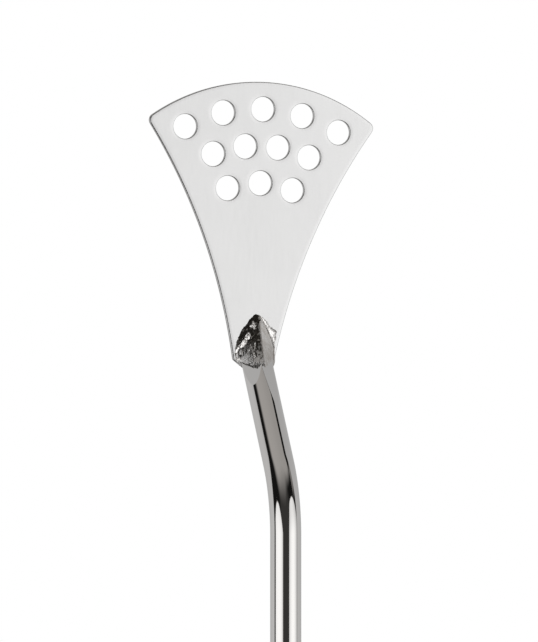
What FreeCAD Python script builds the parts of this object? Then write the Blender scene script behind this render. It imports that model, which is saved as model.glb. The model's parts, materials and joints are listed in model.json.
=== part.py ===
"""One-handed perforated potato blade: a fan-shaped plate welded to a cranked round bar.

Every piece is drawn in the blade frame and then placed in the part's own frame.
Blade frame: origin at the centre of the fan arc on the blade's front face,
+X across the blade, +Y towards the fan edge, +Z out of the front face.
Part frame: the tool lies at rest on the plane Z = 0, on its handle's end and the blade's
lower edge, +Y towards the fan edge, with the origin under the middle of its bounding box.
"""
import FreeCAD, Part
import math
import os
import Sketcher
from FreeCAD import Placement, Rotation, Vector

SIZES = {
    # blade
    "blade_thickness": 2.0,
    "fan_radius": 65.9,
    "fan_width": 79.4,
    "corner_round": 2.2,
    "flank_radius": 195.6,
    "neck_width": 14.3,
    "neck_drop": 25.3,
    "heel_width": 5.0,
    "heel_drop": 28.7,
    "edge_round": 0.7,
    # holes: three rows on arcs round the fan centre
    "hole_diameter": 8.0,
    "outer_row_radius": 57.0,
    "middle_row_radius": 45.0,
    "inner_row_radius": 32.8,
    "outer_row_pitch": 13.95,
    "middle_row_pitch": 14.5,
    "inner_row_pitch": 20.1,
    # cranked bar
    "rod_diameter": 10.0,
    "foot_drop": 22.1,
    "foot_angle": 37.6,
    "shank_length": 56.9,
    "handle_angle": 6.1,
    "handle_length": 168.0,
    "bend_radius": 45.0,
    "buried_length": 20.0,
    "handle_end_round": 4.0,
    "hang_hole_diameter": 5.0,
    "hang_hole_inset": 12.0,
    "hang_hole_round": 0.4,
    # welds
    "weld_height": 5.5,
    "weld_low_edge": 24.4,
    "weld_base_tip": 9.9,
    "weld_base_half_width": 6.4,
    "weld_crest_tip": 19.0,
    "weld_crest_half_width": 3.6,
    "toe_drop": 16.0,
    "heel_bead_drop": 29.0,
    "heel_bead_half_length": 3.4,
    "heel_bead_half_width": 1.9,
    "heel_bead_half_height": 1.7,
}

ROWS = (("outer", 5), ("middle", 4), ("inner", 3))

doc = FreeCAD.newDocument("potato_blade")
sheet = doc.addObject("Spreadsheet::Sheet", "sizes")
for line, (alias, value) in enumerate(SIZES.items(), start=1):
    sheet.set("A%d" % line, alias)
    sheet.set("B%d" % line, str(value))
    sheet.setAlias("B%d" % line, alias)
doc.recompute()


def size(alias):
    """Read a driving dimension back from the sheet."""
    return float(sheet.get(alias))


def new_body(label):
    body = doc.addObject("PartDesign::Body", label)
    body.Label = label
    return body


def new_sketch(body, name, role, offset=None):
    """A sketch on one of the body's own origin planes, found by its role."""
    plane = [f for f in body.Origin.OriginFeatures if f.Role == role][0]
    sketch = body.newObject("Sketcher::SketchObject", name)
    sketch.AttachmentSupport = [(plane, "")]
    sketch.MapMode = "FlatFace"
    if offset is not None:
        sketch.AttachmentOffset = offset
    return sketch


def constrain(sketch, kind, *args, value=None, name=None, expression=None):
    """Add one constraint; a size is named and bound to an expression on the sheet."""
    if value is None:
        return sketch.addConstraint(Sketcher.Constraint(kind, *args))
    index = sketch.addConstraint(Sketcher.Constraint(kind, *args, value))
    sketch.renameConstraint(index, name)
    sketch.setExpression("Constraints." + name, expression)
    return index


def expect_change(feature, before, sign):
    """Stop if a feature added or removed nothing."""
    doc.recompute()
    change = feature.Shape.Volume - before
    if change * sign <= 1e-6:
        raise RuntimeError(feature.Name + " changed the volume by %.4f" % change)


def edges_where(shape, test):
    return ["Edge%d" % n for n, edge in enumerate(shape.Edges, start=1) if test(edge)]


def round_edges(body, name, base, test, alias):
    """Fillet the edges of the base feature that pass the test."""
    fillet = body.newObject("PartDesign::Fillet", name)
    fillet.Base = (base, edges_where(base.Shape, test))
    fillet.setExpression("Radius", "sizes." + alias)
    expect_change(fillet, base.Shape.Volume, -1)
    return fillet


def flank_centre(tip, neck, radius):
    """Centre, outside the blade, of the flank arc through the tip and neck corners."""
    middle = (tip + neck) * 0.5
    chord = tip - neck
    across = Vector(chord.y, -chord.x, 0).normalize()
    return middle + across * math.sqrt(radius ** 2 - (chord.Length / 2) ** 2)


def angle_at(centre, point):
    return math.atan2(point.y - centre.y, point.x - centre.x)


# ---------------------------------------------------------------- blade

def draw_blade_outline(sketch):
    """Fan arc on top, two hollow flanks, and a lower edge with its corners cut off."""
    radius = size("fan_radius")
    half = size("fan_width") / 2
    tip = Vector(half, math.sqrt(radius ** 2 - half ** 2), 0)
    neck = Vector(size("neck_width") / 2, -size("neck_drop"), 0)
    heel = Vector(size("heel_width") / 2, -size("heel_drop"), 0)
    up = Vector(0, 0, 1)
    centre = flank_centre(tip, neck, size("flank_radius"))
    tip_l, neck_l, heel_l, centre_l = [Vector(-p.x, p.y, 0) for p in (tip, neck, heel, centre)]
    origin = Vector(0, 0, 0)
    fan_circle = Part.Circle(origin, up, radius)
    right_circle = Part.Circle(centre, up, size("flank_radius"))
    left_circle = Part.Circle(centre_l, up, size("flank_radius"))
    start, stop = angle_at(origin, tip), angle_at(origin, tip_l)
    fan = sketch.addGeometry(Part.ArcOfCircle(fan_circle, start, stop))
    # left flank, from the neck corner up to the tip corner, turning anticlockwise
    start, stop = angle_at(centre_l, neck_l), angle_at(centre_l, tip_l)
    left = sketch.addGeometry(Part.ArcOfCircle(left_circle, start, stop))
    left_cut = sketch.addGeometry(Part.LineSegment(neck_l, heel_l))
    base = sketch.addGeometry(Part.LineSegment(heel_l, heel))
    right_cut = sketch.addGeometry(Part.LineSegment(heel, neck))
    start, stop = angle_at(centre, tip), angle_at(centre, neck)
    if stop < start:
        stop += 2 * math.pi
    right = sketch.addGeometry(Part.ArcOfCircle(right_circle, start, stop))
    constrain(sketch, "Coincident", fan, 3, -1, 1)
    constrain(sketch, "Coincident", fan, 2, left, 2)
    constrain(sketch, "Coincident", left, 1, left_cut, 1)
    constrain(sketch, "Coincident", left_cut, 2, base, 1)
    constrain(sketch, "Coincident", base, 2, right_cut, 1)
    constrain(sketch, "Coincident", right_cut, 2, right, 2)
    constrain(sketch, "Coincident", right, 1, fan, 1)
    constrain(sketch, "Symmetric", fan, 1, fan, 2, -2)
    constrain(sketch, "Symmetric", left_cut, 1, right_cut, 2, -2)
    constrain(sketch, "Symmetric", base, 1, base, 2, -2)
    constrain(sketch, "Equal", left, right)
    constrain(sketch, "Radius", fan, value=radius, name="fan", expression="sizes.fan_radius")
    constrain(sketch, "Radius", left, value=size("flank_radius"), name="flank",
              expression="sizes.flank_radius")
    constrain(sketch, "DistanceX", fan, 2, fan, 1, value=2 * half, name="across",
              expression="sizes.fan_width")
    constrain(sketch, "DistanceX", left_cut, 1, right_cut, 2, value=2 * neck.x, name="neck",
              expression="sizes.neck_width")
    constrain(sketch, "DistanceY", right_cut, 2, -1, 1, value=-neck.y, name="neck_drop",
              expression="sizes.neck_drop")
    constrain(sketch, "DistanceX", base, 1, base, 2, value=2 * heel.x, name="heel",
              expression="sizes.heel_width")
    constrain(sketch, "DistanceY", base, 2, -1, 1, value=-heel.y, name="heel_drop",
              expression="sizes.heel_drop")


def is_tip_corner(edge):
    box = edge.BoundBox
    return box.ZLength > 0.1 and box.XLength < 1e-6 and box.YMin > size("fan_radius") / 2


def is_face_rim(edge):
    return edge.BoundBox.ZLength < 1e-6


def make_blade():
    body = new_body("blade")
    outline = new_sketch(body, "blade_outline", "XY_Plane")
    draw_blade_outline(outline)
    plate = body.newObject("PartDesign::Pad", "plate")
    plate.Profile = outline
    plate.Reversed = True
    plate.setExpression("Length", "sizes.blade_thickness")
    doc.recompute()
    last = round_edges(body, "rounded_corners", plate, is_tip_corner, "corner_round")
    for row, count in ROWS:
        last = punch_row(body, outline, row, count, last)
    body.Tip = round_edges(body, "rounded_edges", last, is_face_rim, "edge_round")
    return body


def punch_row(body, outline, row, count, base):
    """One hole at the right end of a row, then repeated round the fan centre."""
    radius = size(row + "_row_radius")
    pitch = size(row + "_row_pitch")
    angle = math.radians(90 - pitch * (count - 1) / 2)
    middle = Vector(radius * math.cos(angle), radius * math.sin(angle), 0)
    sketch = new_sketch(body, row + "_hole_sketch", "XY_Plane")
    circle = Part.Circle(middle, Vector(0, 0, 1), size("hole_diameter") / 2)
    hole = sketch.addGeometry(circle)
    spoke = sketch.addGeometry(Part.LineSegment(Vector(0, 0, 0), middle), True)
    constrain(sketch, "Coincident", spoke, 1, -1, 1)
    constrain(sketch, "Coincident", spoke, 2, hole, 3)
    constrain(sketch, "Diameter", hole, value=size("hole_diameter"), name="bore",
              expression="sizes.hole_diameter")
    constrain(sketch, "Distance", spoke, value=radius, name="row_radius",
              expression="sizes.%s_row_radius" % row)
    constrain(sketch, "Angle", spoke, 1, -2, 1, value=math.pi / 2 - angle, name="row_end",
              expression="sizes.%s_row_pitch * %g * 1 deg" % (row, (count - 1) / 2))
    punch = body.newObject("PartDesign::Pocket", row + "_punch")
    punch.Profile = sketch
    punch.Type = "ThroughAll"
    expect_change(punch, base.Shape.Volume, -1)
    pattern = body.newObject("PartDesign::PolarPattern", row + "_row")
    pattern.Originals = [punch]
    pattern.Axis = (outline, ["N_Axis"])
    pattern.Mode = "Extent"
    pattern.Occurrences = count
    pattern.setExpression("Angle", "sizes.%s_row_pitch * %d * 1 deg" % (row, count - 1))
    body.Tip = pattern
    expect_change(pattern, punch.Shape.Volume, -1)
    return pattern


# ---------------------------------------------------------------- cranked bar

def slope(angle):
    """Direction, in the blade's middle plane, of a bar that climbs away from the blade."""
    return Vector(0, -math.cos(math.radians(angle)), math.sin(math.radians(angle)))


FOOT = Vector(0, -size("foot_drop"), 0)
CRANK = FOOT + slope(size("foot_angle")) * size("shank_length")
HANDLE_END = CRANK + slope(size("handle_angle")) * size("handle_length")
HANG_HOLE = HANDLE_END - slope(size("handle_angle")) * size("hang_hole_inset")


def in_plane(point):
    """A point of the middle plane in the coordinates of a sketch on YZ_Plane."""
    return Vector(point.y, point.z, 0)


def draw_rod_path(path):
    """Shank, bend and handle, with the two straight axes as construction lines."""
    foot, crank, end = [in_plane(p) for p in (FOOT, CRANK, HANDLE_END)]
    up_shank = (foot - crank).normalize()
    along = (end - crank).normalize()
    turn = math.radians(size("foot_angle") - size("handle_angle"))
    setback = size("bend_radius") * math.tan(turn / 2)
    bend_start = crank + up_shank * setback
    bend_end = crank + along * setback
    centre = bend_end + Vector(-along.y, along.x, 0) * size("bend_radius")
    circle = Part.Circle(centre, Vector(0, 0, 1), size("bend_radius"))
    start, stop = angle_at(centre, bend_start), angle_at(centre, bend_end)
    buried = foot + up_shank * size("buried_length")
    shank = path.addGeometry(Part.LineSegment(buried, bend_start))
    bend = path.addGeometry(Part.ArcOfCircle(circle, start, stop))
    handle = path.addGeometry(Part.LineSegment(bend_end, end))
    shank_axis = path.addGeometry(Part.LineSegment(foot, crank), True)
    handle_axis = path.addGeometry(Part.LineSegment(crank, end), True)
    constrain(path, "PointOnObject", shank_axis, 1, -1)
    constrain(path, "DistanceX", shank_axis, 1, -1, 1, value=size("foot_drop"),
              name="foot_drop", expression="sizes.foot_drop")
    constrain(path, "Distance", shank_axis, value=size("shank_length"),
              name="shank_length", expression="sizes.shank_length")
    constrain(path, "DistanceY", shank_axis, 1, shank_axis, 2, value=crank.y, name="crank_rise",
              expression="sizes.shank_length * sin(sizes.foot_angle * 1 deg)")
    constrain(path, "Coincident", handle_axis, 1, shank_axis, 2)
    constrain(path, "Distance", handle_axis, value=size("handle_length"),
              name="handle_length", expression="sizes.handle_length")
    constrain(path, "DistanceY", handle_axis, 1, handle_axis, 2, value=end.y - crank.y,
              name="handle_rise",
              expression="sizes.handle_length * sin(sizes.handle_angle * 1 deg)")
    constrain(path, "PointOnObject", shank, 2, shank_axis)
    constrain(path, "Parallel", shank, shank_axis)
    constrain(path, "Distance", shank, 1, shank_axis, 1, value=size("buried_length"),
              name="buried_length", expression="sizes.buried_length")
    constrain(path, "Coincident", handle, 2, handle_axis, 2)
    constrain(path, "PointOnObject", handle, 1, handle_axis)
    constrain(path, "Tangent", shank, 2, bend, 1)
    constrain(path, "Tangent", bend, 2, handle, 1)
    constrain(path, "Radius", bend, value=size("bend_radius"), name="bend_radius",
              expression="sizes.bend_radius")


def draw_circle(sketch, alias):
    """One circle round the sketch's origin, its diameter taken from the sheet."""
    circle = Part.Circle(Vector(0, 0, 0), Vector(0, 0, 1), size(alias) / 2)
    ring = sketch.addGeometry(circle)
    constrain(sketch, "Coincident", ring, 3, -1, 1)
    constrain(sketch, "Diameter", ring, value=size(alias), name="across",
              expression="sizes." + alias)


def make_rod():
    body = new_body("handle_rod")
    path = new_sketch(body, "rod_path", "YZ_Plane")
    draw_rod_path(path)
    # section across the shank's buried start: local +Z runs down the shank
    section = new_sketch(body, "rod_section", "XZ_Plane",
                         Placement(Vector(0, 0, 0), Rotation(Vector(1, 0, 0), -1)))
    section.setExpression("AttachmentOffset.Base.y",
                          "-sizes.buried_length * sin(sizes.foot_angle * 1 deg)")
    section.setExpression("AttachmentOffset.Base.z",
                          "sizes.foot_drop - sizes.buried_length * cos(sizes.foot_angle * 1 deg)")
    section.setExpression("AttachmentOffset.Rotation.Angle", "-sizes.foot_angle")
    draw_circle(section, "rod_diameter")
    doc.recompute()
    bar = body.newObject("PartDesign::AdditivePipe", "bar")
    bar.Profile = section
    bar.Spine = (path, ["Edge1", "Edge2", "Edge3"])
    doc.recompute()
    foot = cut_foot(body, bar)
    end = round_edges(body, "rounded_end", foot, is_handle_rim, "handle_end_round")
    hole = drill_hang_hole(body, end)
    body.Tip = round_edges(body, "hang_hole_rim", hole, is_hang_hole_rim, "hang_hole_round")
    return body


def cut_foot(body, bar):
    """Slant the bar's end so that it stands flat on the blade's front face."""
    sketch = new_sketch(body, "foot_cut_sketch", "YZ_Plane")
    reach = size("buried_length") + size("rod_diameter")
    low = Vector(-size("foot_drop") - reach, -reach, 0)
    corners = [low, low + Vector(2 * reach, 0, 0), low + Vector(2 * reach, reach, 0),
               low + Vector(0, reach, 0)]
    lines = [sketch.addGeometry(Part.LineSegment(corners[n], corners[(n + 1) % 4]))
             for n in range(4)]
    for n in range(4):
        constrain(sketch, "Coincident", lines[n], 2, lines[(n + 1) % 4], 1)
    for n in (0, 2):
        constrain(sketch, "Horizontal", lines[n])
    for n in (1, 3):
        constrain(sketch, "Vertical", lines[n])
    constrain(sketch, "PointOnObject", lines[2], 1, -1)
    constrain(sketch, "DistanceX", lines[0], 1, -1, 1, value=-low.x, name="far_edge",
              expression="sizes.foot_drop + sizes.buried_length + sizes.rod_diameter")
    constrain(sketch, "DistanceX", lines[0], 1, lines[0], 2, value=2 * reach, name="cut_length",
              expression="2 * (sizes.buried_length + sizes.rod_diameter)")
    constrain(sketch, "DistanceY", lines[1], 1, lines[1], 2, value=reach, name="cut_depth",
              expression="sizes.buried_length + sizes.rod_diameter")
    cut = body.newObject("PartDesign::Pocket", "foot_cut")
    cut.Profile = sketch
    cut.Midplane = True
    cut.setExpression("Length", "2 * sizes.rod_diameter")
    expect_change(cut, bar.Shape.Volume, -1)
    return cut


def drill_hang_hole(body, base):
    """Hole square to the handle's axis, in the middle plane, near the free end."""
    drill = new_sketch(body, "hang_hole_sketch", "XY_Plane",
                       Placement(HANG_HOLE, Rotation(Vector(1, 0, 0), -1)))
    drill.setExpression("AttachmentOffset.Rotation.Angle", "-sizes.handle_angle")
    draw_circle(drill, "hang_hole_diameter")
    hole = body.newObject("PartDesign::Pocket", "hang_hole")
    hole.Profile = drill
    hole.Midplane = True
    hole.setExpression("Length", "3 * sizes.rod_diameter")
    expect_change(hole, base.Shape.Volume, -1)
    return hole


def is_handle_rim(edge):
    """The circle round the handle's far end."""
    box = edge.BoundBox
    across = size("rod_diameter")
    return box.XLength > 0.9 * across and (box.Center - HANDLE_END).Length < 0.1 * across


def is_hang_hole_rim(edge):
    """Either of the saddle-shaped curves where the hanging hole leaves the bar."""
    box = edge.BoundBox
    round_hole = abs(box.XLength - size("hang_hole_diameter")) < 0.01
    return round_hole and (box.Center - HANG_HOLE).Length < size("rod_diameter")


# ---------------------------------------------------------------- welds

def draw_pointed_arch(sketch, tip, half_width):
    """Pointed arch whose two arcs stand square on the bar's foot line, with a flat lower edge."""
    rise = size("foot_drop") - size(tip)
    half = size(half_width)
    radius = (rise ** 2 + half ** 2) / (2 * half)
    point = Vector(0, -size(tip), 0)
    spring = Vector(half, -size("foot_drop"), 0)
    low = Vector(half, -size("weld_low_edge"), 0)
    spring_l, low_l = [Vector(-p.x, p.y, 0) for p in (spring, low)]
    centre, centre_l = spring - Vector(radius, 0, 0), spring_l + Vector(radius, 0, 0)
    up = Vector(0, 0, 1)
    right = sketch.addGeometry(Part.ArcOfCircle(Part.Circle(centre, up, radius),
                                                0, angle_at(centre, point)))
    left = sketch.addGeometry(Part.ArcOfCircle(Part.Circle(centre_l, up, radius),
                                               angle_at(centre_l, point), math.pi))
    side_l = sketch.addGeometry(Part.LineSegment(spring_l, low_l))
    base = sketch.addGeometry(Part.LineSegment(low_l, low))
    side = sketch.addGeometry(Part.LineSegment(low, spring))
    constrain(sketch, "Coincident", right, 2, left, 1)
    constrain(sketch, "Tangent", left, 2, side_l, 1)
    constrain(sketch, "Coincident", side_l, 2, base, 1)
    constrain(sketch, "Coincident", base, 2, side, 1)
    constrain(sketch, "Tangent", side, 2, right, 1)
    constrain(sketch, "PointOnObject", right, 2, -2)
    constrain(sketch, "Vertical", side)
    constrain(sketch, "Symmetric", side, 2, side_l, 1, -2)
    constrain(sketch, "Symmetric", side, 1, side_l, 2, -2)
    constrain(sketch, "DistanceY", right, 2, -1, 1, value=size(tip), name="tip",
              expression="sizes." + tip)
    constrain(sketch, "DistanceY", right, 1, -1, 1, value=size("foot_drop"), name="spring",
              expression="sizes.foot_drop")
    constrain(sketch, "DistanceY", side, 1, -1, 1, value=size("weld_low_edge"), name="low",
              expression="sizes.weld_low_edge")
    constrain(sketch, "DistanceX", side_l, 1, side, 2, value=2 * half, name="across",
              expression="2 * sizes." + half_width)


def make_weld_mound():
    """The weld metal as one mound round the bar's foot, before the bar is taken out."""
    body = new_body("weld_mound")
    base = new_sketch(body, "mound_base", "XY_Plane")
    draw_pointed_arch(base, "weld_base_tip", "weld_base_half_width")
    crest = new_sketch(body, "mound_crest", "XY_Plane", Placement())
    crest.setExpression("AttachmentOffset.Base.z", "sizes.weld_height")
    draw_pointed_arch(crest, "weld_crest_tip", "weld_crest_half_width")
    loft = body.newObject("PartDesign::AdditiveLoft", "mound")
    loft.Profile = base
    loft.Sections = [crest]
    loft.Ruled = True
    doc.recompute()
    return body


def make_weld(label, mound, rod, corner, reach):
    """The share of the mound inside one box, less the bar."""
    box = doc.addObject("Part::Box", label + "_share")
    box.Length, box.Width, box.Height = reach
    box.Placement = REST * Placement(corner, Rotation())
    share = doc.addObject("Part::Common", label + "_metal")
    share.Base = mound
    share.Tool = box
    weld = doc.addObject("Part::Cut", label)
    weld.Label = label
    weld.Base = share
    weld.Tool = rod
    return weld


def make_heel_weld(blade, rod):
    """Short bead between the blade's lower edge and the underside of the bar."""
    bead = doc.addObject("Part::Ellipsoid", "heel_bead")
    bead.setExpression("Radius1", "sizes.heel_bead_half_height")
    bead.setExpression("Radius2", "sizes.heel_bead_half_length")
    bead.setExpression("Radius3", "sizes.heel_bead_half_width")
    bead.Placement = REST * Placement(Vector(0, -size("heel_bead_drop"), 0), Rotation())
    clear = doc.addObject("Part::Cut", "heel_bead_off_blade")
    clear.Base = bead
    clear.Tool = blade
    weld = doc.addObject("Part::Cut", "weld_heel")
    weld.Label = "weld_heel"
    weld.Base = clear
    weld.Tool = rod
    return weld


# ---------------------------------------------------------------- the part at rest

def rest_placement():
    """Turn the blade frame so that the blade's lower edge and the handle's end touch Z = 0."""
    edge = size("edge_round")
    end_round = size("handle_end_round")
    handle = slope(size("handle_angle"))
    under = Vector(0, -handle.z, handle.y)
    # centres of the two roundings that touch the ground
    heel = Vector(0, edge - size("heel_drop"), edge - size("blade_thickness"))
    flat = size("rod_diameter") / 2 - end_round
    end = HANDLE_END - handle * end_round + under * flat
    gap = heel - end
    lean = math.atan2(-gap.z, gap.y) + math.asin((edge - end_round) / gap.Length)
    turn = Rotation(Vector(1, 0, 0), math.degrees(lean))
    ground = turn.multVec(heel).z - edge
    # centres of the roundings that reach furthest forwards and back
    brow = Vector(0, size("fan_radius") - edge, edge - size("blade_thickness"))
    tail = end - under * 2 * flat
    front = turn.multVec(brow).y + edge
    back = turn.multVec(tail).y - end_round
    return Placement(Vector(0, -(front + back) / 2, -ground), turn)


REST = rest_placement()
blade = make_blade()
rod = make_rod()
mound = make_weld_mound()
for piece in (blade, rod, mound):
    piece.Placement = REST
span = size("fan_width")
toe = -size("toe_drop")
weld_toe = make_weld("weld_toe", mound, rod, Vector(-span, toe, 0), (2 * span, span, span))
weld_left = make_weld("weld_left", mound, rod, Vector(-span, toe - span, 0), (span, span, span))
weld_right = make_weld("weld_right", mound, rod, Vector(0, toe - span, 0), (span, span, span))
weld_heel = make_heel_weld(blade, rod)
doc.recompute()

PIECES = (blade, rod, weld_toe, weld_left, weld_right, weld_heel)
failed = [o.Name for o in doc.Objects if "Invalid" in o.State or "Error" in o.State]
if failed:
    raise RuntimeError("failed objects: " + ", ".join(failed))
for piece in PIECES:
    if piece.Shape.isNull() or not piece.Shape.isValid() or len(piece.Shape.Solids) != 1:
        raise RuntimeError(piece.Label + " is not one valid solid")

os.makedirs("parts", exist_ok=True)
for piece in PIECES:
    piece.Shape.exportStep("parts/%s.step" % piece.Label)
    box = piece.Shape.optimalBoundingBox()
    print("%-12s %9.2f mm3  %s" % (piece.Label, piece.Shape.Volume, box))
print("lean %.3f degrees, blade frame at %s" % (math.degrees(REST.Rotation.Angle), REST.Base))
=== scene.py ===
"""Looks of the one-handed perforated potato blade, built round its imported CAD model.

Every piece is modelled again here as a finer mesh: the satin blade, the mirror-polished
bar and the four weld beads. Shapes are drawn in the blade's frame, in millimetres (origin
at the fan centre on the front face, +X across, +Y towards the fan edge, +Z out of the
front face), and are then carried over to the part's frame, in metres.
"""
import json
import math
from collections import namedtuple

import bmesh
import bpy
import numpy as np
from mathutils import Matrix, Vector, noise


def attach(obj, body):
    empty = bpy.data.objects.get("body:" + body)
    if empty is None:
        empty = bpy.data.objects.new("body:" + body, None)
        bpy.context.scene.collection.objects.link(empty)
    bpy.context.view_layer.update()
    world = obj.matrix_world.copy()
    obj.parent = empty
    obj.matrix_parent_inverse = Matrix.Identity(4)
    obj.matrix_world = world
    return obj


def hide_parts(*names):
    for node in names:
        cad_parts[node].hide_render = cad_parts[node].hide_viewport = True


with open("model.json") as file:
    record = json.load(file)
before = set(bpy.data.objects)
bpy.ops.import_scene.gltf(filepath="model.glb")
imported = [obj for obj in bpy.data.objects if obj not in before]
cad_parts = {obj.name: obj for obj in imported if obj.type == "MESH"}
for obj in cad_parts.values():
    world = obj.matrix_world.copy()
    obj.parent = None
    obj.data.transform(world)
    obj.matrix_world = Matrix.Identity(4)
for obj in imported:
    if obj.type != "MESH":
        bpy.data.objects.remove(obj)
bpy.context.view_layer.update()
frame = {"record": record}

MM = 0.001

# ---------------------------------------------------------------- sizes shared with the CAD part
BLADE_THICKNESS = 2.0
BAR_RADIUS = 5.0
FOOT_DROP = 22.1
FOOT_ANGLE = math.radians(37.6)
SHANK_LENGTH = 56.9
HANDLE_ANGLE = math.radians(6.1)
HANDLE_LENGTH = 168.0
BEND_RADIUS = 45.0
END_ROUND = 4.0
HANG_HOLE_RADIUS = 2.5
HANG_HOLE_INSET = 12.0
HANG_HOLE_ROUND = 0.4

# ---------------------------------------------------------------- camera, placed from the blade
CAMERA_YAW = math.radians(20.0)
CAMERA_PITCH = math.radians(1.773)
CAMERA_ROLL = math.radians(-2.101)
CAMERA_DISTANCE = 1500.0
CAMERA_AIM = Vector((4.746, -12.27, 0.0))
LENS_MM = 256.4
SENSOR_MM = 36.0


# ---------------------------------------------------------------- frames

def mount(name):
    return [m for m in frame["record"]["mounts"] if m["name"] == name][0]


def blade_frame():
    """Matrix from the blade's frame, in metres, to the part's frame."""
    back = mount("blade_back")
    out = -Vector(back["axis"]).normalized()
    across = Vector((1, 0, 0))
    up = out.cross(across)
    centre = Vector(back["pos_m"]) + out * BLADE_THICKNESS * MM
    return Matrix.Translation(centre) @ Matrix((across, up, out)).transposed().to_4x4()


BLADE = blade_frame()


def to_part(points):
    """Blade-frame millimetres to part-frame metres, for an array of points."""
    turn = np.array(BLADE.to_3x3())
    return np.asarray(points, float) * MM @ turn.T + np.array(BLADE.translation)


# ---------------------------------------------------------------- node helpers

class Nodes:
    """Short names for building a node tree."""

    def __init__(self, tree):
        self.tree = tree
        tree.nodes.clear()

    def add(self, kind, **settings):
        made = self.tree.nodes.new("ShaderNode" + kind)
        for name, value in settings.items():
            setattr(made, name, value)
        return made

    def put(self, socket, value):
        if isinstance(value, bpy.types.NodeSocket):
            self.tree.links.new(value, socket)
        else:
            socket.default_value = value

    def math(self, operation, *values):
        made = self.add("Math", operation=operation)
        for socket, value in zip(made.inputs, values):
            self.put(socket, value)
        return made.outputs[0]

    def step(self, value, low, high, to_low=0.0, to_high=1.0):
        """Smooth ramp from low to high."""
        made = self.add("MapRange", interpolation_type="SMOOTHSTEP")
        for socket, given in zip(made.inputs, (value, low, high, to_low, to_high)):
            self.put(socket, given)
        return made.outputs[0]

    def sweep(self, angle, low, high, to_low=0.0, to_high=1.0):
        """Smooth ramp over an angle, between two angles in degrees."""
        return self.step(angle, math.radians(low), math.radians(high), to_low, to_high)

    def product(self, *values):
        """Several numbers multiplied together."""
        result = values[0]
        for value in values[1:]:
            result = self.math("MULTIPLY", result, value)
        return result

    def blend(self, factor, low, high):
        """Colour between low and high."""
        made = self.add("Mix", data_type="RGBA")
        self.put(made.inputs[0], factor)
        self.put(made.inputs[6], low)
        self.put(made.inputs[7], high)
        return made.outputs[2]

    def level(self, factor, low, high):
        """Number between low and high."""
        made = self.add("Mix", data_type="FLOAT")
        for socket, value in zip(made.inputs[:1] + made.inputs[2:4], (factor, low, high)):
            self.put(socket, value)
        return made.outputs[0]

    def noise(self, vector, scale, detail=3.0, rough=0.55, distortion=0.0):
        made = self.add("TexNoise")
        self.put(made.inputs["Vector"], vector)
        self.put(made.inputs["Scale"], scale)
        self.put(made.inputs["Detail"], detail)
        self.put(made.inputs["Roughness"], rough)
        self.put(made.inputs["Distortion"], distortion)
        return made.outputs["Fac"]


def grey(level, warmth=0.0):
    """Neutral colour, or a slightly warm one."""
    return (level * (1 + warmth), level, level * (1 - warmth), 1.0)


# ---------------------------------------------------------------- camera and studio

def camera_turn():
    """Rotation whose rows are the camera's right, up and toward-camera axes in the blade's frame."""
    return (Matrix.Rotation(CAMERA_ROLL, 3, "Z") @ Matrix.Rotation(CAMERA_PITCH, 3, "X")
            @ Matrix.Rotation(CAMERA_YAW, 3, "Y"))


def make_camera():
    """Camera that looks at the blade's aim point from its front left."""
    turn = camera_turn()
    place = CAMERA_AIM + turn.row[2] * CAMERA_DISTANCE
    data = bpy.data.cameras.new("camera")
    data.lens = LENS_MM
    data.sensor_width = SENSOR_MM
    camera = bpy.data.objects.new("camera", data)
    bpy.context.scene.collection.objects.link(camera)
    in_blade = Matrix.Translation(place * MM) @ turn.transposed().to_4x4()
    camera.matrix_world = BLADE @ in_blade
    bpy.context.scene.camera = camera


# The studio is drawn by heading and height, in degrees, as seen from the object: heading 0 is
# towards the camera and grows to the camera's right. A ramp's pair of angles is where it
# starts and ends, and a pair of lights is low and high, unless a comment says otherwise.
EDGE = math.radians(1.5)

SoftBox = namedtuple("SoftBox", "tip left right square_left square_right shoulder rise"
                     " dim_left dim_right soft_right")
# soft boxes: heading of the arched top's tip, reach to the left and to the right, how square
# the shoulders are, height of the shoulders, rise of the arch, share of the light lost at the
# sides, softness of the right side
LEFT_BOX = SoftBox(tip=-50, left=29, right=29, square_left=2, square_right=2, shoulder=6.9,
                   rise=13.4, dim_left=0.15, dim_right=0.3, soft_right=9)
RIGHT_BOX = SoftBox(tip=56, left=30, right=38, square_left=4, square_right=2, shoulder=8.2,
                    rise=20.8, dim_left=0.38, dim_right=0.7, soft_right=1.5)
BOX_SOFT_LEFT = 1.5
BOX_LIGHT = (1.5, 1.2)
BOX_LIGHT_RAMP = (3, 21)
BOX_BOTTOM = math.radians(-35)
BOX_BOTTOM_FADE = 5 * EDGE

# ceiling: the heights where it fades in, and how they shift to the left and right
CEILING_START = 24
CEILING_START_RISE = 13
CEILING_FULL = 62
CEILING_FULL_DROP_LEFT = 15
CEILING_FULL_DROP_RIGHT = 11
START_RAMP_LEFT = (-30, -75)
START_RAMP_RIGHT = (5, 36)
FULL_RAMP_LEFT = (10, -46)
FULL_RAMP_RIGHT = (0, 66)
# dark gap at the ceiling's right end, closed again high up
CEILING_GAP = (76, 79)
CEILING_GAP_TOP = (56, 66)
# light at the ceiling's left and right ends, and the heading of those ends, in radians
CEILING_LIGHT = (0.49, 0.43)
CEILING_END = 1.2

# unlit room, a little lighter straight ahead
DARK_LIGHT = 0.05
GAP_LIGHT = 0.01
DARK_AHEAD = (45, 25)
# dim strip at the far right, between two heights
STRIP_LIGHT = 0.24
STRIP_START = (78, 82)
STRIP_BOTTOM = (20, 30)
STRIP_TOP = (44, 40)

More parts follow.
